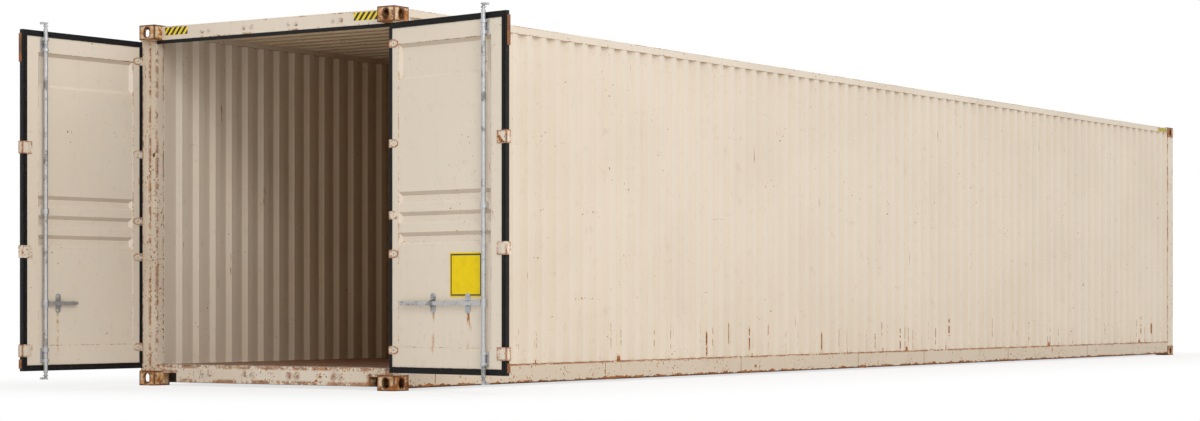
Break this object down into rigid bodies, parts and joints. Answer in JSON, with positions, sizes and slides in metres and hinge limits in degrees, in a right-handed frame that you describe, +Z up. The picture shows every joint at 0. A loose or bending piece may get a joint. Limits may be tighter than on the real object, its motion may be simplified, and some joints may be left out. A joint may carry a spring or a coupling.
{
  "type": "high-cube shipping container",
  "caption": "Long corrugated steel freight container with corner castings, plywood floor and two hinged cargo doors with turning lock rods",
  "frame": {"origin": "ground level at the middle of the base, halfway between the four bottom corner castings", "axes": "+Y runs along the container from the cargo doors to the closed end, +X to the right wall seen from the doors, +Z up"},
  "size_m": [3.8735, 17.4369, 2.896],
  "materials": {
    "casting": "worn cream paint over heavy orange rust",
    "rubber": "matt black ribbed rubber",
    "galvanised": "dull galvanised steel",
    "plywood": "worn brown plywood boards",
    "threshold": "bare worn steel strip",
    "underframe": "dark underbody coating",
    "wall_paint": "cream paint with rust streaks",
    "door_paint": "cream paint, lightly weathered",
    "frame_paint": "cream paint with rusty edges"
  },
  "bodies": {
    "container": {"casting_top_door_right": "casting", "casting_top_door_left": "casting", "casting_top_end_right": "casting", "casting_top_end_left": "casting", "casting_bottom_door_right": "casting", "casting_bottom_door_left": "casting", "casting_bottom_end_right": "casting", "casting_bottom_end_left": "casting", "door_post_right": "frame_paint", "door_post_left": "frame_paint", "end_post_right": "frame_paint", "end_post_left": "frame_paint", "top_rail_right": "frame_paint", "top_rail_left": "frame_paint", "bottom_rail_right": "frame_paint", "bottom_rail_left": "frame_paint", "side_wall_right": "wall_paint", "side_wall_left": "wall_paint", "door_header": "frame_paint", "header_seal": "rubber", "door_sill": "frame_paint", "threshold_plate": "threshold", "end_header": "frame_paint", "end_sill": "frame_paint", "end_wall": "wall_paint", "roof": "wall_paint", "roof_end_plates": "wall_paint", "floor": "plywood", "cross_members": "underframe"},
    "right_door": {"right_frame": "door_paint", "right_panel": "door_paint", "right_gasket": "rubber", "right_hinge_blades": "frame_paint", "right_edge_clips": "frame_paint", "right_lock_fittings": "galvanised"},
    "right_rod": {"right_lock_rod": "galvanised", "right_lock_handle": "galvanised"},
    "left_door": {"left_frame": "door_paint", "left_panel": "door_paint", "left_gasket": "rubber", "left_hinge_blades": "frame_paint", "left_edge_clips": "frame_paint", "left_lock_fittings": "galvanised"},
    "left_rod": {"left_lock_rod": "galvanised", "left_lock_handle": "galvanised"}
  },
  "joints": [
    {"name": "right_door_hinge", "type": "hinge", "parent": "container", "child": "right_door", "pos_m": [1.2835, -8.083, 1.448], "axis": [0, 0, 1], "range_deg": [-170, 100]},
    {"name": "left_door_hinge", "type": "hinge", "parent": "container", "child": "left_door", "pos_m": [-1.2835, -8.083, 1.448], "axis": [0, 0, -1], "range_deg": [-93, 177]},
    {"name": "right_rod_turn", "type": "hinge", "parent": "right_door", "child": "right_rod", "pos_m": [2.31012, -8.33916, 1.448], "axis": [0, 0, 1], "range_deg": [0, 110]},
    {"name": "left_rod_turn", "type": "hinge", "parent": "left_door", "child": "left_rod", "pos_m": [-1.26484, -9.14093, 1.448], "axis": [0, 0, -1], "range_deg": [0, 110]}
  ]
}
